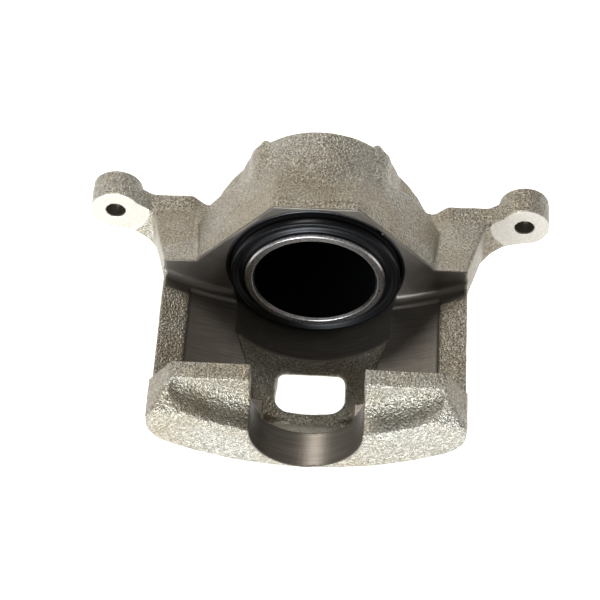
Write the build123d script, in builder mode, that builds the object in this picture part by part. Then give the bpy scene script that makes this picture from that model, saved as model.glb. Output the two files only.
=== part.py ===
from build123d import *
import os

# A single-piston floating brake caliper, as the bare housing with its piston, seals and bleeder.
# Frame, in millimetres: the origin is the centre of the piston's rim face. +X runs along the lugs,
# +Y runs inboard along the piston's axis to the closed end of the cylinder, and +Z points to the
# wheel hub, so the bridge lies underneath.

# ---- Driving dimensions ----
PISTON_R = 28.5
PISTON_WALL = 4.05
PISTON_LENGTH = 46.0
PISTON_FLOOR = 5.0
RUNNING_GAP = 0.05          # radial clearance of the piston in its bore
LIP_GROOVE_START_Y = 1.7    # groove in the piston for the boot's inner lip
LIP_GROOVE_END_Y = 4.0
LIP_GROOVE_R = 27.0

FACE_Y = 6.4                # flat face of the cylinder, round the boot
RIM_END_Y = 12.7            # back of the hood's rim
RIDGE_Y = 37.5              # the hood's flanks widen back to here
BORE_END_Y = 47.5
REAR_Y = 54.5               # back of the lug flange
BOSS_R = 33.5               # outside of the cylinder
BOSS_END_Y = 52.2
BOSS_SHOULDER_R = 8.6
BOOT_SEAT_R = 36.0
BOOT_SEAT_END_Y = 12.0
SEAL_START_Y = 16.0
SEAL_WIDTH = 4.0
SEAL_R = 31.5

BODY_HALF = 61.8            # half width of the bridge
BODY_END_Y = 50.0
BELLY_Z = -46.0             # lowest line of the bridge
BELLY_R = 132.0             # curve of the bridge's underside, about the wheel's axis
BELLY_CORNER_R = 12.0
TAPER_START_Y = -34.0       # from here the underside rises to the outer face
REAR_TAPER_Y = 12.0
OUTER_Y = -74.3
OUTER_EDGE_Z = -23.8

GAP_END_Y = -56.0           # inner face of the fingers
GAP_R = 130.0               # bridge's inner surface, turned to clear the brake disc
GAP_Z = -22.0
GAP_HALF = 51.0
CAST_STEP = 1.0             # the unmachined side rails stand this much higher
ROOT_FILLET = 3.0
RELIEF_R = 36.3             # turned clearance in front of the cylinder
RELIEF_END_Y = -13.4
RECESS_R = 37.0             # cast recess round the piston's axis, below the disc
RECESS_END_Y = -44.4

TIP_Z = 17.7
TIP_HALF = 52.4
TIP_FRONT_Y = -63.8
TIP_LIP = 2.4               # the tip overhangs the pocket by this thickness
FINGER_WALL_Y = -61.0       # back wall of the finger pockets
POCKET_EDGE_Z = -3.2        # middle of the outer face's top edge
POCKET_EDGE_R = 97.0        # and its curve
POCKET_ROUND = 7.0          # between the pocket's back wall and its floor
POCKET_HALF = 52.0
NOTCH_R = 21.8              # machined notch between the fingers
NOTCH_Z = -1.2

LUG_X = 85.7
LUG_Z = -13.0
LUG_R = 10.5
LUG_HOLE_R = 4.1
LUG_FACE_Y = 44.5
LUG_END_Y = 57.6
FLANGE_FRONT_Y = 43.9       # cast front of the flange, spot-faced at the lugs
SPOT_FACE_R = 14.0

PORT_X = -16.0
PORT_Z = -10.0
PORT_R = 4.5                # minor radius of an M10x1 thread
PORT_BOSS_R = 10.0
PORT_FACE_Y = 58.0
BLEEDER_X = 19.0
BLEEDER_Z = -16.0
BLEEDER_R = 4.0             # M8 shank
BLEEDER_BOSS_R = 8.0
FEED_R = 1.5

os.makedirs("parts", exist_ok=True)


def across(y):
    """The plane at station y, with sketch axes X and Z. A positive extrusion runs outboard (-Y)."""
    return Plane.XZ.offset(-y)


def both_sides(points):
    """A right-hand outline from its lowest point up, followed by its mirror image in X."""
    return points + [(-x, z) for x, z in reversed(points)]


def outline(points):
    """A closed straight-edged face in the current sketch."""
    Polygon(*points, align=None)


# ---- Housing ----
# Outlines of the casting, right-hand side, as (X, Z). The hood is the eight-sided rim round the
# boot. Its flanks and the two wings run back from the front face to the lug flange.
finger_side = [(BODY_HALF, -90.0), (BODY_HALF, 5.0), (TIP_HALF, TIP_Z)]
hood = [(47.5, -24.0), (47.5, 3.6), (17.0, 37.6)]
flank_front = [(47.5, -24.0), (47.5, 3.0), (40.0, 11.4), (30.0, 22.5), (17.0, 37.0)]
flank_ridge = [(50.0, -24.0), (50.0, -9.3), (45.0, 2.0), (37.5, 12.0), (17.5, 28.0)]
flank_foot = [(44.0, -26.0), (44.0, -13.0), (41.0, -7.0), (33.5, 2.0), (17.5, 14.0)]
wing_front = [(61.4, -19.0), (61.4, 2.6), (53.0, 2.6), (40.0, 2.6)]
wing_rear = [(72.2, -38.0), (72.2, -16.5), (53.0, -15.5), (40.0, -21.4)]
flange = [
    (38.0, -38.0),
    (48.0, BELLY_Z),
    (62.0, BELLY_Z),
    (66.5, -43.0),
    (69.4, -37.0),
    (73.0, -30.5),
    (78.5, -25.5),
    (LUG_X, LUG_Z - LUG_R),
    (LUG_X, -8.5),
    (75.8, -8.5),
    (70.5, -12.3),
    (53.5, -12.3),
    (48.0, -18.0),
    (45.0, -17.0),
    (41.0, -7.6),
    (37.0, -0.4),
    (31.0, 8.0),
]

# Space for the brake disc and pads, with the corner fillets of the casting at both ends.
with BuildPart() as disc_gap:
    with BuildSketch(across(FACE_Y)):
        with Locations((0, GAP_Z + CAST_STEP + GAP_R)):
            Circle(GAP_R)
        with Locations((0, 60.0)):
            Rectangle(200.0, 170.0, mode=Mode.INTERSECT)
    extrude(amount=FACE_Y - GAP_END_Y)
    fillet(disc_gap.edges().filter_by(GeomType.CIRCLE), ROOT_FILLET)

# The cast recess narrows towards the fingers.
with BuildPart() as recess:
    with BuildSketch(Plane.XY.offset(-RECESS_R - 1.0)):
        outline(
            [
                (30.9, -12.0),
                (25.5, -28.0),
                (22.2, RECESS_END_Y),
                (-22.2, RECESS_END_Y),
                (-25.5, -28.0),
                (-30.9, -12.0),
            ]
        )
    extrude(amount=60.0)
    with BuildSketch(across(0.0)):
        Circle(RECESS_R)
    extrude(amount=60.0, mode=Mode.INTERSECT)

# The pocket runs across both fingers. Its back wall blends into a floor that curves with the disc.
with BuildPart() as pocket:
    with BuildSketch(across(FINGER_WALL_Y)):
        with Locations((0, POCKET_EDGE_Z + POCKET_EDGE_R)):
            Circle(POCKET_EDGE_R)
        Rectangle(2 * POCKET_HALF, 2 * (TIP_Z - TIP_LIP), mode=Mode.INTERSECT)
    extrude(amount=FINGER_WALL_Y - OUTER_Y + 5.0)
    fillet(pocket.edges().filter_by(GeomType.CIRCLE).sort_by(Axis.Y)[-1], POCKET_ROUND)
    with BuildSketch(across(TIP_FRONT_Y)):
        with Locations((0, TIP_Z - TIP_LIP - 1.0)):
            Rectangle(2 * POCKET_HALF, 20.0, align=(Align.CENTER, Align.MIN))
    extrude(amount=TIP_FRONT_Y - OUTER_Y + 5.0)

with BuildPart() as caliper_housing:
    # The bridge and the fingers start as one block that spans the disc.
    with BuildSketch(across(BODY_END_Y)):
        outline(both_sides(finger_side))
    extrude(amount=BODY_END_Y - OUTER_Y)
    # Its underside curves about the wheel's axis, and rises towards both ends.
    taper_run = TAPER_START_Y - OUTER_Y
    taper_rise = OUTER_EDGE_Z - BELLY_Z
    straight = Plane(origin=(0, 0, BELLY_Z), x_dir=(1, 0, 0), z_dir=(0, -1, 0))
    outer_taper = Plane(
        origin=(0, TAPER_START_Y, BELLY_Z), x_dir=(1, 0, 0), z_dir=(0, -taper_run, taper_rise)
    )
    rear_taper = Plane(origin=(0, REAR_TAPER_Y, BELLY_Z), x_dir=(1, 0, 0), z_dir=(0, -8.0, -1.0))
    for belly_plane in (straight, outer_taper, rear_taper):
        with BuildSketch(belly_plane) as belly:
            with Locations((0, BELLY_R)):
                Circle(BELLY_R)
            Rectangle(
                2 * BODY_HALF,
                2 * BELLY_R,
                align=(Align.CENTER, Align.MIN),
                mode=Mode.INTERSECT,
            )
            fillet(belly.vertices().sort_by(Axis.Y)[:2], BELLY_CORNER_R)
        extrude(amount=170.0, both=True, mode=Mode.INTERSECT)
    add(disc_gap.part, mode=Mode.SUBTRACT)
    # Behind the front face the block stays below the wings.
    with BuildSketch(Plane.YZ):
        outline([(FACE_Y, -3.0), (60.0, -24.0), (60.0, 90.0), (FACE_Y, 90.0)])
    extrude(amount=100.0, both=True, mode=Mode.SUBTRACT)

    with BuildSketch(across(RIM_END_Y)):
        outline(both_sides(hood))
    extrude(amount=RIM_END_Y - FACE_Y)
    with BuildSketch(across(RIM_END_Y)):
        outline(both_sides(flank_front))
    with BuildSketch(across(RIDGE_Y)):
        outline(both_sides(flank_ridge))
    with BuildSketch(across(FLANGE_FRONT_Y)):
        outline(both_sides(flank_foot))
    loft(ruled=True)
    with BuildSketch(across(FACE_Y)):
        outline(both_sides(wing_front))
    with BuildSketch(across(REAR_Y)):
        outline(both_sides(wing_rear))
    loft(ruled=True)
    with BuildSketch(across(REAR_Y)):
        outline(both_sides(flange))
    extrude(amount=REAR_Y - FLANGE_FRONT_Y)
    with BuildSketch(across(LUG_END_Y)):
        with Locations((LUG_X, LUG_Z), (-LUG_X, LUG_Z)):
            Circle(LUG_R)
    extrude(amount=LUG_END_Y - LUG_FACE_Y)

    # The cylinder, with two feeder nubs on its back rim, and bosses for the hose and the bleeder.
    with BuildSketch(across(BOSS_END_Y)):
        Circle(BOSS_R)
        with Locations((20.3, 17.0), (-20.3, 17.0)):
            Circle(BOSS_SHOULDER_R)
    extrude(amount=BOSS_END_Y - FACE_Y)
    with BuildSketch(across(REAR_Y)):
        with Locations((22.8, 22.4), (-22.8, 22.4)):
            Circle(2.2)
    extrude(amount=REAR_Y - BOSS_END_Y + 1.0)
    with BuildSketch(across(PORT_FACE_Y)):
        with Locations((PORT_X, PORT_Z)):
            Circle(PORT_BOSS_R)
        with Locations((BLEEDER_X, BLEEDER_Z)):
            Circle(BLEEDER_BOSS_R)
    extrude(amount=PORT_FACE_Y - BORE_END_Y - 2.0)
    # Slots cored through the flange lighten the back of the shoulders.
    with BuildSketch(across(REAR_Y)):
        with Locations((50.5, -30.5), (-50.5, -30.5)):
            RectangleRounded(18.0, 12.0, 4.0)
    extrude(amount=26.0, mode=Mode.SUBTRACT)

    # Recess under the disc, its ramp up to the notch, and the inspection window through it.
    add(recess.part, mode=Mode.SUBTRACT)
    with BuildSketch(Plane.YZ):
        outline([(-43.0, -RECESS_R), (RECESS_END_Y, -RECESS_R), (-58.2, -23.0), (-58.2, 0.0), (-43.0, 0.0)])
    extrude(amount=18.0, both=True, mode=Mode.SUBTRACT)
    with BuildSketch(across(-44.0)):
        with Locations((0, 1.2)):
            Circle(25.0)
    with BuildSketch(across(-63.0)):
        with Locations((0, 1.2)):
            Circle(21.6)
    loft(mode=Mode.SUBTRACT)
    with BuildSketch(Plane.XY.offset(-70.0)):
        with Locations((-0.2, -28.9)):
            RectangleRounded(28.4, 18.8, 5.5)
    extrude(amount=60.0, mode=Mode.SUBTRACT)
    with BuildSketch(Plane.YZ):
        outline([(-25.0, -RECESS_R), (-19.6, -RECESS_R), (-11.0, -48.0), (-25.0, -48.0)])
    extrude(amount=14.0, both=True, mode=Mode.SUBTRACT)

    # The fingers have a bevelled outer edge, and a pocket in the outer side of each.
    with BuildSketch(Plane.YZ):
        outline([(TIP_FRONT_Y, 40.0), (TIP_FRONT_Y, TIP_Z), (OUTER_Y, 8.0), (-90.0, 8.0), (-90.0, 40.0)])
    extrude(amount=80.0, both=True, mode=Mode.SUBTRACT)
    add(pocket.part, mode=Mode.SUBTRACT)

    # Machining: the turned inner face of the bridge, the clearance in front of the cylinder, the
    # notch between the fingers, and the faces and holes of the lugs.
    with BuildSketch(across(FACE_Y - ROOT_FILLET - CAST_STEP)):
        with Locations((0, GAP_Z + GAP_R)):
            Circle(GAP_R)
        Rectangle(2 * GAP_HALF, 160.0, mode=Mode.INTERSECT)
    extrude(amount=FACE_Y - ROOT_FILLET - CAST_STEP - GAP_END_Y, mode=Mode.SUBTRACT)
    with BuildSketch(across(FACE_Y)):
        Circle(RELIEF_R)
    extrude(amount=FACE_Y - RELIEF_END_Y, mode=Mode.SUBTRACT)
    with BuildSketch(across(GAP_END_Y + 2.0)):
        with Locations((0, NOTCH_Z)):
            Circle(NOTCH_R)
            Rectangle(2 * NOTCH_R, 60.0, align=(Align.CENTER, Align.MIN))
    extrude(amount=30.0, mode=Mode.SUBTRACT)
    with BuildSketch(across(LUG_FACE_Y)):
        with Locations((LUG_X, LUG_Z), (-LUG_X, LUG_Z)):
            Circle(SPOT_FACE_R)
    extrude(amount=20.0, mode=Mode.SUBTRACT)
    with BuildSketch(across(LUG_END_Y)):
        with Locations((LUG_X, LUG_Z), (-LUG_X, LUG_Z)):
            Circle(LUG_HOLE_R)
    extrude(amount=LUG_END_Y - LUG_FACE_Y, mode=Mode.SUBTRACT)

    # The stepped bore, the seal's groove, and the threaded holes that open into the bore.
    with BuildSketch(Plane.XY):
        outline(
            [
                (0, FACE_Y - 1.0),
                (BOOT_SEAT_R, FACE_Y - 1.0),
                (BOOT_SEAT_R, BOOT_SEAT_END_Y),
                (PISTON_R + RUNNING_GAP, BOOT_SEAT_END_Y),
                (PISTON_R + RUNNING_GAP, SEAL_START_Y),
                (SEAL_R, SEAL_START_Y),
                (SEAL_R, SEAL_START_Y + SEAL_WIDTH),
                (PISTON_R + RUNNING_GAP, SEAL_START_Y + SEAL_WIDTH),
                (PISTON_R + RUNNING_GAP, BORE_END_Y),
                (0, BORE_END_Y),
            ]
        )
    revolve(axis=Axis.Y, mode=Mode.SUBTRACT)
    for hole_x, hole_z, hole_r, hole_end in (
        (PORT_X, PORT_Z, PORT_R, BORE_END_Y),
        (BLEEDER_X, BLEEDER_Z, BLEEDER_R + RUNNING_GAP, BORE_END_Y + 3.0),
        (BLEEDER_X, BLEEDER_Z, FEED_R, BORE_END_Y),
    ):
        with BuildSketch(across(PORT_FACE_Y)):
            with Locations((hole_x, hole_z)):
                Circle(hole_r)
        extrude(amount=PORT_FACE_Y - hole_end, mode=Mode.SUBTRACT)

caliper_housing.part.label = "caliper_housing"
export_step(caliper_housing.part, "parts/caliper_housing.step")


def turned(points):
    """A ring or shaft about the piston's axis, from its section as (radius, Y)."""
    with BuildPart() as ring:
        with BuildSketch(Plane.XY):
            Polygon(*points)
        revolve(axis=Axis.Y)
    return ring


# ---- Piston: a hollow cup with its open end towards the pads ----
with BuildPart() as piston:
    with BuildSketch(Plane.XY):
        Polygon(
            (PISTON_R - PISTON_WALL, 0.0),
            (PISTON_R - 0.7, 0.0),
            (PISTON_R, 0.7),
            (PISTON_R, LIP_GROOVE_START_Y),
            (LIP_GROOVE_R, LIP_GROOVE_START_Y),
            (LIP_GROOVE_R, LIP_GROOVE_END_Y),
            (PISTON_R, LIP_GROOVE_END_Y),
            (PISTON_R, PISTON_LENGTH - 1.5),
            (PISTON_R - 1.5, PISTON_LENGTH),
            (0.0, PISTON_LENGTH),
            (0.0, PISTON_LENGTH - PISTON_FLOOR),
            (PISTON_R - PISTON_WALL, PISTON_LENGTH - PISTON_FLOOR),
        )
    revolve(axis=Axis.Y)
    cup_floor = piston.edges().filter_by(GeomType.CIRCLE)
    cup_floor = cup_floor.filter_by(lambda e: abs(e.radius - PISTON_R + PISTON_WALL) < 0.01)
    fillet(cup_floor.sort_by(Axis.Y)[-1], 3.0)
piston.part.label = "piston"
export_step(piston.part, "parts/piston.step")

# ---- Seal: a square-cut rubber ring that fills its groove in the bore ----
piston_seal = turned(
    [
        (PISTON_R + RUNNING_GAP, SEAL_START_Y + 0.1),
        (SEAL_R - 0.2, SEAL_START_Y + 0.1),
        (SEAL_R - 0.2, SEAL_START_Y + SEAL_WIDTH - 0.1),
        (PISTON_R + RUNNING_GAP, SEAL_START_Y + SEAL_WIDTH - 0.1),
    ]
)
piston_seal.part.label = "piston_seal"
export_step(piston_seal.part, "parts/piston_seal.step")

# ---- Dust boot: bead in the counterbore, folded wall in front, inner lip in the piston's groove ----
dust_boot = turned(
    [
        (LIP_GROOVE_R + 0.2, 1.9),
        (31.0, 1.9),
        (33.6, 1.6),
        (34.2, 2.4),
        (34.2, 8.2),
        (BOOT_SEAT_R - 0.1, 8.2),
        (BOOT_SEAT_R - 0.1, BOOT_SEAT_END_Y - 0.1),
        (32.4, BOOT_SEAT_END_Y - 0.1),
        (32.4, 4.6),
        (31.2, 4.6),
        (31.2, 3.8),
        (LIP_GROOVE_R + 0.2, 3.8),
    ]
)
dust_boot.part.label = "dust_boot"
export_step(dust_boot.part, "parts/dust_boot.step")

# ---- Retaining ring: an open ring that clamps the boot's bead ----
with BuildPart() as boot_retaining_ring:
    with BuildSketch(Plane.XY):
        Polygon((34.5, 6.4), (BOOT_SEAT_R - 0.1, 6.4), (BOOT_SEAT_R - 0.1, 8.1), (34.5, 8.1))
    revolve(axis=Axis.Y)
    gap_plane = Plane(origin=(0, 0, 0), x_dir=(0, 1, 0), z_dir=(1, 0, 0.62))
    with BuildSketch(gap_plane.offset(28.0)):
        Rectangle(30.0, 3.0)
    extrude(amount=12.0, mode=Mode.SUBTRACT)
boot_retaining_ring.part.label = "boot_retaining_ring"
export_step(boot_retaining_ring.part, "parts/boot_retaining_ring.step")

# ---- Bleeder: a hollow screw with a cone seat, a hexagon and a barbed nipple ----
SCREW_TIP_Y = BORE_END_Y + 3.3
HEX_START_Y = PORT_FACE_Y + 1.5
HEX_END_Y = HEX_START_Y + 5.5
NIPPLE_END_Y = HEX_END_Y + 10.0
HEX_ACROSS_FLATS = 10.0
with BuildPart() as bleeder_screw:
    with BuildSketch(Plane.XY):
        Polygon(
            (0.0, SCREW_TIP_Y),
            (1.2, SCREW_TIP_Y),
            (BLEEDER_R - 0.8, SCREW_TIP_Y + 2.0),
            (BLEEDER_R, SCREW_TIP_Y + 2.8),
            (BLEEDER_R, HEX_START_Y - 1.0),
            (3.2, HEX_START_Y - 1.0),
            (3.2, HEX_START_Y),
            (3.2, HEX_END_Y + 1.0),
            (2.6, HEX_END_Y + 4.5),
            (2.6, HEX_END_Y + 6.0),
            (3.5, HEX_END_Y + 6.6),
            (2.7, NIPPLE_END_Y),
            (0.0, NIPPLE_END_Y),
        )
    revolve(axis=Axis.Y)
    with BuildSketch(across(HEX_END_Y)):
        RegularPolygon(HEX_ACROSS_FLATS / 2, 6, major_radius=False)
    extrude(amount=HEX_END_Y - HEX_START_Y)
    with BuildSketch(across(NIPPLE_END_Y)):
        Circle(1.0)
    extrude(amount=NIPPLE_END_Y - SCREW_TIP_Y - 4.0, mode=Mode.SUBTRACT)
    with BuildSketch(Plane.YZ):
        with Locations((SCREW_TIP_Y + 4.6, 0)):
            Circle(0.8)
    extrude(amount=6.0, mode=Mode.SUBTRACT)
bleeder_place = Location((BLEEDER_X, 0, BLEEDER_Z))
bleeder_screw.part.label = "bleeder_screw"
export_step(bleeder_screw.part.moved(bleeder_place), "parts/bleeder_screw.step")

# ---- Cap: a rubber cup over the nipple ----
CAP_END_Y = NIPPLE_END_Y + 2.0
bleeder_cap = turned(
    [
        (3.8, HEX_END_Y + 0.6),
        (5.4, HEX_END_Y + 0.6),
        (5.4, HEX_END_Y + 2.4),
        (4.9, HEX_END_Y + 3.0),
        (4.9, CAP_END_Y - 1.0),
        (3.9, CAP_END_Y),
        (0.0, CAP_END_Y),
        (0.0, NIPPLE_END_Y + 0.3),
        (3.8, NIPPLE_END_Y + 0.3),
    ]
)
bleeder_cap.part.label = "bleeder_cap"
export_step(bleeder_cap.part.moved(bleeder_place), "parts/bleeder_cap.step")
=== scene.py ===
from math import cos, pi, radians, sin

import bmesh
import bpy
import numpy as np
from mathutils import Matrix, Vector, noise as field


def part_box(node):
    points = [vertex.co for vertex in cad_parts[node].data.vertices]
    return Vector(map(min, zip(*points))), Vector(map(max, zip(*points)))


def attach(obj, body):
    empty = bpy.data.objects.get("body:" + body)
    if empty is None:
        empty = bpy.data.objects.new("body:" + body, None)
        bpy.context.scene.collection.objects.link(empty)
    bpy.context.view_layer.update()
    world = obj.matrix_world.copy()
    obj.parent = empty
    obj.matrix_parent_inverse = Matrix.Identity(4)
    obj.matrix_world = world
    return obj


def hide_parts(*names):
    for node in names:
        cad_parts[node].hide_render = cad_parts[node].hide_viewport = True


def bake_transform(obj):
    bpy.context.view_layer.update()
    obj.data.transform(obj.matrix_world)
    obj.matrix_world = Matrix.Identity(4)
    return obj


# A bare floating brake caliper lying on its bridge, seen from the hub's side. Lengths in this file
# are in millimetres, as in the CAD, and MM turns them into Blender's metres.

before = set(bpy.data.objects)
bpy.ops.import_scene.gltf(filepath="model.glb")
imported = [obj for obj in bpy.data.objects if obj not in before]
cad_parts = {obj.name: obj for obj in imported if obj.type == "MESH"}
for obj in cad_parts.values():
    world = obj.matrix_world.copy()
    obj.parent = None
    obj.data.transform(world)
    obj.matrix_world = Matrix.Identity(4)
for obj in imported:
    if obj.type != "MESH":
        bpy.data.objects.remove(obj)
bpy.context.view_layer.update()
MM = 0.001

# ---- Places shared with the CAD ----
PISTON_R = 28.5
PISTON_WALL = 4.05
PISTON_LENGTH = 46.0
PISTON_FLOOR = 5.0
FACE_Y = 6.4
BORE_END_Y = 47.5
BOOT_SEAT_R = 36.0
BOOT_SEAT_END_Y = 12.0
SEAL_R = 31.5
GAP_END_Y = -56.0
GAP_R = 130.0
GAP_Z = -22.0
GAP_HALF = 51.0
RELIEF_R = 36.3
RELIEF_END_Y = -13.4
NOTCH_R = 21.8
NOTCH_Z = -1.2
LUG_X = 85.7
LUG_Z = -13.0
LUG_R = 10.5
LUG_HOLE_R = 4.1
LUG_FACE_Y = 44.5
LUG_END_Y = 57.6
SPOT_FACE_R = 14.0
PORT_FACE_Y = 58.0
BLEEDER_X = 19.0
BLEEDER_Z = -16.0
HEX_START_Y = PORT_FACE_Y + 1.5
HEX_END_Y = HEX_START_Y + 5.5
NIPPLE_END_Y = HEX_END_Y + 10.0
SEAT_TIP_Y = 50.85              # tip of the bleeder's cone
SHANK_NECK_R = 3.2
AXIS_HOLE_R = 0.02              # pinhole kept on the axis of a turned solid
FLOOR_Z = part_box("caliper_housing")[0][2]


# ---- Small helpers ----
def mesh_object(name, mesh):
    piece = bpy.data.objects.new(name, mesh)
    bpy.context.scene.collection.objects.link(piece)
    return piece


def remeshed_copy(source, name, voxel):
    """A copy of source rebuilt as an even skin of small squares."""
    helper = mesh_object(name + "_source", source.data.copy())
    modifier = helper.modifiers.new("skin", "REMESH")
    modifier.mode = "VOXEL"
    modifier.voxel_size = voxel * MM
    graph = bpy.context.evaluated_depsgraph_get()
    mesh = bpy.data.meshes.new_from_object(helper.evaluated_get(graph), depsgraph=graph)
    bpy.data.objects.remove(helper)
    return mesh_object(name, mesh)


def points_of(mesh):
    flat = np.empty(len(mesh.vertices) * 3, np.float32)
    mesh.vertices.foreach_get("co", flat)
    return flat.reshape(-1, 3).astype(float)


def normals_of(mesh):
    flat = np.empty(len(mesh.vertices) * 3, np.float32)
    mesh.vertices.foreach_get("normal", flat)
    return flat.reshape(-1, 3).astype(float)


def edges_of(mesh):
    flat = np.empty(len(mesh.edges) * 2, np.int32)
    mesh.edges.foreach_get("vertices", flat)
    return flat.reshape(-1, 2)


def neighbour_mean(values, edges, counts):
    """Each vertex's mean over its neighbours, for one column or several."""
    total = np.zeros_like(values)
    for column in range(values.shape[1]):
        for here, there in ((0, 1), (1, 0)):
            total[:, column] += np.bincount(
                edges[:, here], weights=values[edges[:, there], column], minlength=len(values)
            )
    return total / counts[:, None]


def rounded(profile, radius, steps=4):
    """A closed profile with every corner rounded, and a close pair of points beside each round."""
    result = []
    count = len(profile)
    for index, corner in enumerate(profile):
        here = np.array(corner, float)
        to_last = np.array(profile[index - 1], float) - here
        to_next = np.array(profile[(index + 1) % count], float) - here
        last_length, next_length = np.linalg.norm(to_last), np.linalg.norm(to_next)
        reach = min(radius, 0.4 * last_length, 0.4 * next_length)
        start = here + to_last / last_length * reach
        stop = here + to_next / next_length * reach
        result.append(here + to_last / last_length * reach * 1.2)
        for step in range(steps + 1):
            t = step / steps
            result.append((1 - t) ** 2 * start + 2 * t * (1 - t) * here + t**2 * stop)
        result.append(here + to_next / next_length * reach * 1.2)
    return [tuple(point) for point in result]


def turned(name, profile, centre=(0.0, 0.0), segments=160, gap=None):
    """A ring or shaft about an axis along Y, from its section as (radius, Y) in millimetres.
    gap is a pair of angles in degrees from +X towards +Z that the ring leaves open."""
    form = bmesh.new()
    whole = gap is None
    if whole:
        angles = [2 * pi * step / segments for step in range(segments)]
    else:
        first, last = radians(gap[1]), radians(gap[0]) + 2 * pi
        angles = [first + (last - first) * step / segments for step in range(segments + 1)]
    rows = []
    for angle in angles:
        row = []
        for radius, y in profile:
            spot = (centre[0] + radius * cos(angle), y, centre[1] + radius * sin(angle))
            row.append(form.verts.new([value * MM for value in spot]))
        rows.append(row)
    count = len(profile)
    turns = len(rows) if whole else len(rows) - 1
    for step in range(turns):
        here, there = rows[step], rows[(step + 1) % len(rows)]
        for index in range(count):
            after = (index + 1) % count
            form.faces.new((here[index], there[index], there[after], here[after]))
    if not whole:
        form.faces.new(rows[0])
        form.faces.new(rows[-1])
    bmesh.ops.remove_doubles(form, verts=form.verts, dist=1e-7)
    bmesh.ops.recalc_face_normals(form, faces=form.faces)
    mesh = bpy.data.meshes.new(name)
    form.to_mesh(mesh)
    form.free()
    mesh.shade_smooth()
    return mesh_object(name, mesh)


def joined(name, parts):
    """One piece from several meshes in the same body."""
    form = bmesh.new()
    for part in parts:
        form.from_mesh(part.data)
        bpy.data.objects.remove(part)
    mesh = bpy.data.meshes.new(name)
    form.to_mesh(mesh)
    form.free()
    return mesh_object(name, mesh)


# ---- Housing: the casting, with soft cast edges and crisp machined faces ----
VOXEL = 0.55
SOFTENING_STEPS = 16


def machined_masks(p):
    """Two masks over points in millimetres, 1 on the turned faces and 1 on the spot faces."""
    x, y, z = p[:, 0], p[:, 1], p[:, 2]
    near = 0.5
    axis_r = np.hypot(x, z)
    disc_r = np.hypot(x, z - GAP_Z - GAP_R)
    lug_r = np.hypot(np.abs(x) - LUG_X, z - LUG_Z)
    bridge = (np.abs(disc_r - GAP_R) < near) & (np.abs(x) < GAP_HALF) & (y > GAP_END_Y - near) & (y < 2.4)
    front = (np.abs(y - FACE_Y) < near) & (axis_r > RELIEF_R - 1) & (z > -21.0)
    ledge = (y > -0.5) & (y < FACE_Y + near) & (disc_r > GAP_R - 6.0) & (z > -24.0) & (np.abs(x) < 60.5)
    relief = (np.abs(axis_r - RELIEF_R) < near) & (y > RELIEF_END_Y - near) & (y < FACE_Y) & (z < 0)
    boot_seat = (axis_r < BOOT_SEAT_R + near) & (y > FACE_Y - near) & (y < BOOT_SEAT_END_Y + near)
    bore = (axis_r < SEAL_R + near) & (y > BOOT_SEAT_END_Y) & (y < BORE_END_Y + near)
    notch = (np.abs(np.hypot(x, z - NOTCH_Z) - NOTCH_R) < near) & (z < NOTCH_Z + 3.0) & (y < GAP_END_Y - 1.0)
    fingers = (np.abs(y - GAP_END_Y) < near) & (disc_r < GAP_R + 1.0)
    lug_face = (np.abs(y - LUG_FACE_Y) < near) & (lug_r < SPOT_FACE_R)
    lug_hole = lug_r < LUG_HOLE_R + near
    lug_back = (np.abs(y - LUG_END_Y) < near) & (lug_r < LUG_R)
    ports = y > PORT_FACE_Y - near
    # The turned mask also marks where the turned colour's painted shade goes.
    turned_faces = bridge | front | ledge | relief | boot_seat | bore | notch | fingers | lug_hole
    spot_faces = lug_face | lug_back | ports
    return turned_faces.astype(float), spot_faces.astype(float)


def casting():
    """The housing as cast and machined: remeshed finely, its raw edges softened, its skin uneven."""
    piece = remeshed_copy(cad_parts["caliper_housing"], "housing_casting", VOXEL)
    mesh = piece.data
    points = points_of(mesh) / MM
    edges = edges_of(mesh)
    counts = np.maximum(np.bincount(edges.ravel(), minlength=len(points)), 1).astype(float)
    turned_faces, spot_faces = machined_masks(points)
    free = 1.0 - np.maximum(turned_faces, spot_faces)[:, None]
    for _ in range(SOFTENING_STEPS):
        points += 0.6 * free * (neighbour_mean(points, edges, counts) - points)
    mesh.vertices.foreach_set("co", (points * MM).astype(np.float32).ravel())
    mesh.update()
    normals = normals_of(mesh)
    skin = np.array(
        [0.07 * field.noise(Vector(spot / 2.3)) + 0.16 * field.noise(Vector(spot / 9.0)) for spot in points]
    )
    points += normals * (skin * free[:, 0])[:, None]
    mesh.vertices.foreach_set("co", (points * MM).astype(np.float32).ravel())
    for name, mask in (("turned", turned_faces), ("spot_faced", spot_faces)):
        softened = 0.5 * mask[:, None] + 0.5 * neighbour_mean(mask[:, None], edges, counts)
        attribute = mesh.attributes.new(name, "FLOAT", "POINT")
        attribute.data.foreach_set("value", softened[:, 0].astype(np.float32))
    mesh.shade_smooth()
    mesh.update()
    print("casting", len(mesh.vertices), "vertices")
    return piece


housing = casting()
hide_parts("caliper_housing")
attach(housing, "housing")

# ---- Piston: ground cup, with a groove for the boot's lip ----
cup_r = PISTON_R - PISTON_WALL
piston = turned(
    "piston_cup",
    rounded(
        [
            (AXIS_HOLE_R, PISTON_LENGTH - PISTON_FLOOR),
            (cup_r, PISTON_LENGTH - PISTON_FLOOR),
            (cup_r, 1.1),
            (cup_r + 0.9, 0.0),
            (PISTON_R - 0.7, 0.0),
            (PISTON_R, 0.7),
            (PISTON_R, 1.7),
            (27.0, 1.7),
            (27.0, 4.0),
            (PISTON_R, 4.0),
            (PISTON_R, PISTON_LENGTH - 1.5),
            (PISTON_R - 1.5, PISTON_LENGTH),
            (AXIS_HOLE_R, PISTON_LENGTH),
        ],
        0.25,
    ),
)
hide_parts("piston")
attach(piston, "piston_body")

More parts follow.
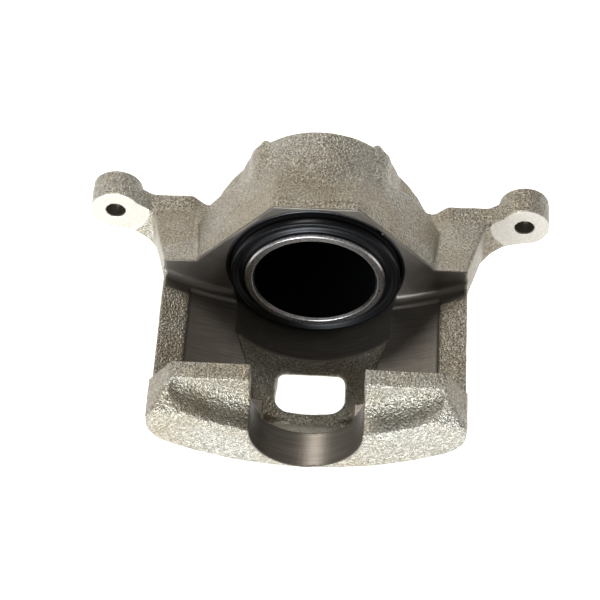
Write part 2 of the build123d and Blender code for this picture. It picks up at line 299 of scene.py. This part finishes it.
# ---- Dust boot: bead in the counterbore, one fold in front of it, and a lip on the piston ----
boot = turned(
    "boot_bellows",
    rounded(
        [
            (27.25, 3.8),
            (27.25, 2.0),
            (28.9, 1.9),
            (30.0, 2.7),
            (30.9, 3.0),
            (31.9, 2.4),
            (33.0, 1.55),
            (33.9, 1.55),
            (34.35, 2.3),
            (34.3, 4.2),
            (33.7, 5.4),
            (34.2, 6.6),
            (35.0, 8.3),
            (35.9, 8.4),
            (35.9, 11.9),
            (32.6, 11.9),
            (32.4, 8.0),
            (32.5, 5.2),
            (33.1, 4.0),
            (33.0, 2.9),
            (32.3, 3.3),
            (31.1, 4.1),
            (29.8, 3.9),
            (28.7, 3.3),
            (28.3, 3.8),
        ],
        0.5,
        3,
    ),
)
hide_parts("dust_boot")
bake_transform(boot)

# ---- Retaining ring: flat wire with rounded corners, open at the upper right ----
ring = turned(
    "retaining_ring",
    rounded([(34.7, 6.5), (35.9, 6.5), (35.9, 8.0), (34.7, 8.0)], 0.4),
    gap=(43.0, 48.0),
)
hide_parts("boot_retaining_ring")
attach(ring, "housing")


# ---- Bleeder: threaded hollow screw, and its rubber cap ----
THREAD_PITCH = 1.25


def threaded_shank(name, start_y, stop_y, crest_r, depth, centre):
    """A screw thread as one wound surface between two stations."""
    rings, segments = int((stop_y - start_y) / THREAD_PITCH * 8), 64
    form = bmesh.new()
    grid = []
    for ring_index in range(rings + 1):
        y = start_y + (stop_y - start_y) * ring_index / rings
        row = []
        for step in range(segments):
            phase = (y / THREAD_PITCH + step / segments) % 1.0
            radius = crest_r - depth * abs(2 * phase - 1)
            angle = 2 * pi * step / segments
            spot = (centre[0] + radius * cos(angle), y, centre[1] + radius * sin(angle))
            row.append(form.verts.new([value * MM for value in spot]))
        grid.append(row)
    for lower, upper in zip(grid, grid[1:]):
        for step in range(segments):
            after = (step + 1) % segments
            form.faces.new((lower[step], lower[after], upper[after], upper[step]))
    form.faces.new(grid[0])
    form.faces.new(grid[-1])
    bmesh.ops.recalc_face_normals(form, faces=form.faces)
    mesh = bpy.data.meshes.new(name)
    form.to_mesh(mesh)
    form.free()
    return mesh_object(name, mesh)


def hexagon(name, start_y, stop_y, across_flats, centre):
    """A hexagon with its corners turned off at 30 degrees at both ends."""
    corner_r = across_flats / 2 / cos(pi / 6)
    flat_r = across_flats / 2
    drop = (corner_r - flat_r) * 0.58
    form = bmesh.new()
    segments = 72
    rows = []
    stations = [(start_y, flat_r), (start_y + drop, corner_r), (stop_y - drop, corner_r), (stop_y, flat_r)]
    for y, limit in stations:
        row = []
        for step in range(segments):
            angle = 2 * pi * step / segments
            within = (angle + pi / 6) % (pi / 3) - pi / 6
            radius = min(flat_r / cos(within), limit)
            spot = (centre[0] + radius * cos(angle), y, centre[1] + radius * sin(angle))
            row.append(form.verts.new([value * MM for value in spot]))
        rows.append(row)
    for lower, upper in zip(rows, rows[1:]):
        for step in range(segments):
            after = (step + 1) % segments
            form.faces.new((lower[step], lower[after], upper[after], upper[step]))
    form.faces.new(rows[0])
    form.faces.new(rows[-1])
    bmesh.ops.recalc_face_normals(form, faces=form.faces)
    mesh = bpy.data.meshes.new(name)
    form.to_mesh(mesh)
    form.free()
    return mesh_object(name, mesh)


bleeder_axis = (BLEEDER_X, BLEEDER_Z)
shank = threaded_shank("shank", BORE_END_Y + 6.0, HEX_START_Y - 1.0, 3.98, 0.65, bleeder_axis)
seat = turned(
    "seat",
    [
        (AXIS_HOLE_R, SEAT_TIP_Y),
        (1.2, SEAT_TIP_Y),
        (SHANK_NECK_R, SEAT_TIP_Y + 2.0),
        (SHANK_NECK_R + 0.1, SEAT_TIP_Y + 2.75),
        (AXIS_HOLE_R, SEAT_TIP_Y + 2.75),
    ],
    bleeder_axis,
    64,
)
neck = turned(
    "neck",
    rounded(
        [
            (AXIS_HOLE_R, HEX_START_Y - 1.1),
            (SHANK_NECK_R, HEX_START_Y - 1.1),
            (SHANK_NECK_R, HEX_START_Y + 0.1),
            (AXIS_HOLE_R, HEX_START_Y + 0.1),
        ],
        0.1,
    ),
    bleeder_axis,
    64,
)
hexagon_part = hexagon("hexagon", HEX_START_Y, HEX_END_Y, 10.0, bleeder_axis)
nipple = turned(
    "nipple",
    rounded(
        [
            (1.0, HEX_END_Y - 0.1),
            (3.2, HEX_END_Y - 0.1),
            (3.2, HEX_END_Y + 1.0),
            (2.6, HEX_END_Y + 4.5),
            (2.6, HEX_END_Y + 6.0),
            (3.5, HEX_END_Y + 6.6),
            (2.7, NIPPLE_END_Y),
            (1.0, NIPPLE_END_Y),
        ],
        0.3,
    ),
    bleeder_axis,
    64,
)
bleeder = joined("bleeder_body", [shank, seat, neck, hexagon_part, nipple])
bleeder.data.set_sharp_from_angle(angle=radians(35))
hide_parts("bleeder_screw")
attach(bleeder, "bleeder")

CAP_END_Y = NIPPLE_END_Y + 2.0
cap = turned(
    "cap_moulded",
    rounded(
        [
            (3.8, HEX_END_Y + 0.6),
            (5.4, HEX_END_Y + 0.6),
            (5.4, HEX_END_Y + 2.4),
            (4.9, HEX_END_Y + 3.0),
            (4.9, CAP_END_Y - 1.0),
            (3.9, CAP_END_Y),
            (AXIS_HOLE_R, CAP_END_Y),
            (AXIS_HOLE_R, NIPPLE_END_Y + 0.3),
            (3.8, NIPPLE_END_Y + 0.3),
        ],
        0.5,
    ),
    bleeder_axis,
    64,
)
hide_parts("bleeder_cap")
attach(cap, "cap")


# ---- Materials ----
def new_material(name, colour, metallic, roughness):
    material = bpy.data.materials.new(name)
    material.use_nodes = True
    nodes = material.node_tree.nodes
    shader = nodes["Principled BSDF"]
    shader.inputs["Base Color"].default_value = (*colour, 1.0)
    shader.inputs["Metallic"].default_value = metallic
    shader.inputs["Roughness"].default_value = roughness
    return material, nodes, material.node_tree.links, shader


def noise(nodes, links, scale, detail=2.0, roughness=0.5, stretch=(1.0, 1.0, 1.0)):
    """Noise in object space, so its grain has a real size. A stretch under 1 draws it out."""
    place = nodes.new("ShaderNodeTexCoord")
    mapping = nodes.new("ShaderNodeMapping")
    mapping.inputs["Scale"].default_value = stretch
    texture = nodes.new("ShaderNodeTexNoise")
    texture.inputs["Scale"].default_value = scale
    texture.inputs["Detail"].default_value = detail
    texture.inputs["Roughness"].default_value = roughness
    links.new(place.outputs["Object"], mapping.inputs["Vector"])
    links.new(mapping.outputs["Vector"], texture.inputs["Vector"])
    return texture.outputs["Fac"]


def ramp(nodes, links, source, stops):
    node = nodes.new("ShaderNodeValToRGB")
    elements = node.color_ramp.elements
    while len(elements) < len(stops):
        elements.new(0.5)
    for element, (position, colour) in zip(elements, stops):
        element.position = position
        element.color = (*colour, 1.0)
    links.new(source, node.inputs["Fac"])
    return node.outputs["Color"]


def mixed(nodes, links, factor, low, high, kind="RGBA"):
    """Between low and high by factor, for colours or for plain values."""
    node = nodes.new("ShaderNodeMix")
    node.data_type = kind
    first, second, result = (6, 7, 2) if kind == "RGBA" else (2, 3, 0)
    for socket, value in ((node.inputs[first], low), (node.inputs[second], high)):
        if isinstance(value, bpy.types.NodeSocket):
            links.new(value, socket)
        else:
            socket.default_value = value
    if isinstance(factor, bpy.types.NodeSocket):
        links.new(factor, node.inputs[0])
    else:
        node.inputs[0].default_value = factor
    return node.outputs[result]


def bumped(nodes, links, shader, layers):
    """Chained bumps. Each layer is (height, strength, distance in millimetres)."""
    last = None
    for height, strength, distance in layers:
        bump = nodes.new("ShaderNodeBump")
        bump.inputs["Distance"].default_value = distance * MM
        if isinstance(strength, bpy.types.NodeSocket):
            links.new(strength, bump.inputs["Strength"])
        else:
            bump.inputs["Strength"].default_value = strength
        links.new(height, bump.inputs["Height"])
        if last is not None:
            links.new(last.outputs["Normal"], bump.inputs["Normal"])
        last = bump
    links.new(last.outputs["Normal"], shader.inputs["Normal"])


CAST_STOPS = [(0.36, (0.25, 0.232, 0.192)), (0.5, (0.375, 0.352, 0.298)), (0.62, (0.54, 0.512, 0.442))]
# Turned iron with its fine turned lines, its tone darkened as painted shade of the cavity around the piston.
TURNED_LINES_AND_SHADE_STOPS = [(0.35, (0.115, 0.100, 0.083)), (0.65, (0.165, 0.146, 0.122))]
SPOT_FACE_STOPS = [(0.35, (0.50, 0.465, 0.405)), (0.65, (0.60, 0.56, 0.50))]


def painted(nodes, name):
    node = nodes.new("ShaderNodeAttribute")
    node.attribute_name = name
    return node.outputs["Fac"]


def cast_material():
    """Sand-cast skin with a sparkling grain, and turned iron where it is machined, its turned faces darkened
    as painted shade.
    """
    material, nodes, links, shader = new_material("cast_body", (0.4, 0.36, 0.29), 0.62, 0.5)
    on_turned, on_spot = painted(nodes, "turned"), painted(nodes, "spot_faced")
    either = nodes.new("ShaderNodeMath")
    either.operation = "MAXIMUM"
    links.new(on_turned, either.inputs[0])
    links.new(on_spot, either.inputs[1])
    on_machined = either.outputs[0]
    coarse = noise(nodes, links, 950.0, 1.0, 0.5)
    fine = noise(nodes, links, 1900.0, 1.0, 0.5)
    patches = noise(nodes, links, 34.0, 3.0, 0.6)
    lines = noise(nodes, links, 2600.0, 2.0, 0.5, (0.03, 1.0, 0.03))
    grain = mixed(nodes, links, 0.45, coarse, fine, "FLOAT")
    cast_colour = ramp(nodes, links, grain, CAST_STOPS)
    stain = ramp(nodes, links, patches, [(0.38, (0.80, 0.72, 0.60)), (0.62, (1.0, 1.0, 1.0))])
    tint = nodes.new("ShaderNodeMix")
    tint.data_type = "RGBA"
    tint.blend_type = "MULTIPLY"
    tint.inputs[0].default_value = 0.8
    links.new(cast_colour, tint.inputs[6])
    links.new(stain, tint.inputs[7])
    # Turned faces take the darkened colour: painted shade over the turned lines of the machined iron.
    colour = mixed(nodes, links, on_turned, tint.outputs[2], ramp(nodes, links, lines, TURNED_LINES_AND_SHADE_STOPS))
    colour = mixed(nodes, links, on_spot, colour, ramp(nodes, links, fine, SPOT_FACE_STOPS))
    links.new(colour, shader.inputs["Base Color"])
    rough_cast = mixed(nodes, links, coarse, 0.34, 0.56, "FLOAT")
    links.new(mixed(nodes, links, on_machined, rough_cast, 0.42, "FLOAT"), shader.inputs["Roughness"])
    cast_relief = mixed(nodes, links, on_machined, 0.95, 0.03, "FLOAT")
    turned_relief = mixed(nodes, links, on_machined, 0.0, 0.25, "FLOAT")
    bumped(
        nodes,
        links,
        shader,
        [(coarse, cast_relief, 1.0), (fine, cast_relief, 0.2), (lines, turned_relief, 0.03)],
    )
    return material


def piston_material():
    """Ground steel on the rim and skirt. The inside of the cup is coloured black as painted shade, where the
    steel lies unlit.
    """
    material, nodes, links, shader = new_material("piston_steel", (0.55, 0.53, 0.52), 1.0, 0.3)
    place = nodes.new("ShaderNodeTexCoord")
    split = nodes.new("ShaderNodeSeparateXYZ")
    links.new(place.outputs["Object"], split.inputs["Vector"])
    radius = nodes.new("ShaderNodeMath")
    radius.operation = "POWER"
    radius.inputs[1].default_value = 0.5
    square = None
    for axis in ("X", "Z"):
        part = nodes.new("ShaderNodeMath")
        part.operation = "MULTIPLY"
        links.new(split.outputs[axis], part.inputs[0])
        links.new(split.outputs[axis], part.inputs[1])
        if square is None:
            square = part
            continue
        total = nodes.new("ShaderNodeMath")
        total.operation = "ADD"
        links.new(square.outputs[0], total.inputs[0])
        links.new(part.outputs[0], total.inputs[1])
        links.new(total.outputs[0], radius.inputs[0])
    inside = nodes.new("ShaderNodeMath")
    inside.operation = "LESS_THAN"
    inside.inputs[1].default_value = (cup_r + 0.12) * MM
    links.new(radius.outputs[0], inside.inputs[0])
    streaks = noise(nodes, links, 900.0, 2.0, 0.6)
    steel = ramp(nodes, links, streaks, [(0.3, (0.30, 0.285, 0.28)), (0.7, (0.52, 0.50, 0.49))])
    # Inside the cup the steel is coloured near-black: painted shade.
    colour = mixed(nodes, links, inside.outputs[0], steel, (0.008, 0.008, 0.009, 1.0))
    links.new(colour, shader.inputs["Base Color"])
    rough = mixed(nodes, links, streaks, 0.22, 0.38, "FLOAT")
    links.new(mixed(nodes, links, inside.outputs[0], rough, 0.75, "FLOAT"), shader.inputs["Roughness"])
    bumped(nodes, links, shader, [(streaks, 0.12, 0.05)])
    return material


def rubber_material(name, colour, roughness):
    material, nodes, links, shader = new_material(name, colour, 0.0, roughness)
    shader.inputs["Specular IOR Level"].default_value = 0.18
    skin = noise(nodes, links, 700.0, 3.0, 0.6)
    bumped(nodes, links, shader, [(skin, 0.15, 0.05)])
    return material


def steel_material(name, colour, roughness):
    material, nodes, links, shader = new_material(name, colour, 1.0, roughness)
    streaks = noise(nodes, links, 500.0, 3.0, 0.6)
    dark = tuple(value * 0.75 for value in colour)
    links.new(ramp(nodes, links, streaks, [(0.35, dark), (0.65, colour)]), shader.inputs["Base Color"])
    bumped(nodes, links, shader, [(streaks, 0.1, 0.05)])
    return material


def dress(piece, material):
    piece.data.materials.clear()
    piece.data.materials.append(material)


dress(housing, cast_material())
dress(piston, piston_material())
dress(boot, rubber_material("boot_rubber", (0.004, 0.004, 0.0045), 0.34))
dress(ring, steel_material("ring_steel", (0.06, 0.06, 0.065), 0.3))
dress(bleeder, steel_material("bleeder_steel", (0.62, 0.57, 0.44), 0.32))
dress(cap, rubber_material("cap_rubber", (0.02, 0.02, 0.02), 0.5))
dress(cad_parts["piston_seal"], rubber_material("seal_rubber", (0.03, 0.03, 0.03), 0.4))


# ---- Stage, light and camera ----
def floor():
    size = 4.0
    mesh = bpy.data.meshes.new("floor")
    mesh.from_pydata(
        [(-size, -size, 0), (size, -size, 0), (size, size, 0), (-size, size, 0)], [], [(0, 1, 2, 3)]
    )
    piece = mesh_object("floor", mesh)
    piece.location.z = FLOOR_Z - 0.0002
    material, _, _, shader = new_material("floor_white", (0.9, 0.9, 0.9), 0.0, 0.9)
    shader.inputs["Emission Color"].default_value = (1, 1, 1, 1)
    shader.inputs["Emission Strength"].default_value = 0.85
    mesh.materials.append(material)


def area_light(name, place, target, size, power, colour=(1, 1, 1)):
    light = bpy.data.lights.new(name, "AREA")
    light.size = size
    light.energy = power
    light.color = colour
    holder = bpy.data.objects.new(name, light)
    bpy.context.scene.collection.objects.link(holder)
    holder.location = place
    holder.rotation_euler = (Vector(target) - Vector(place)).to_track_quat("-Z", "Y").to_euler()


def camera():
    """A long lens over the hub's side: 51 degrees above the piston's axis, a little to the right."""
    azimuth, elevation, roll = radians(2.09), radians(51.0), radians(0.88)
    distance = 0.95
    back = Vector((sin(azimuth) * cos(elevation), -cos(azimuth) * cos(elevation), sin(elevation)))
    level = Vector((cos(azimuth), sin(azimuth), 0.0))
    upright = back.cross(level)
    right = cos(roll) * level + sin(roll) * upright
    up = cos(roll) * upright - sin(roll) * level
    data = bpy.data.cameras.new("camera")
    data.sensor_width = 36.0
    data.lens = 141.5
    data.shift_x = -0.0247
    data.shift_y = -0.0300
    data.clip_start = 0.01
    holder = bpy.data.objects.new("camera", data)
    bpy.context.scene.collection.objects.link(holder)
    turn = Matrix((right, up, back)).transposed().to_4x4()
    holder.matrix_world = Matrix.Translation(back * distance) @ turn
    bpy.context.scene.camera = holder


floor()
area_light("front_key", (-0.25, -1.3, 0.06), (0, 0.0, 0.0), 0.5, 37.0, (0.86, 0.93, 1.0))
area_light("back_top", (-0.35, 0.75, 1.0), (0, 0, 0), 0.5, 11.0, (1.0, 0.97, 0.93))
world = bpy.data.worlds.new("studio")
world.use_nodes = True
world.node_tree.nodes["Background"].inputs["Color"].default_value = (1, 1, 1, 1)
world.node_tree.nodes["Background"].inputs["Strength"].default_value = 0.28
bpy.context.scene.world = world
bpy.context.scene.view_settings.view_transform = "Standard"
camera()
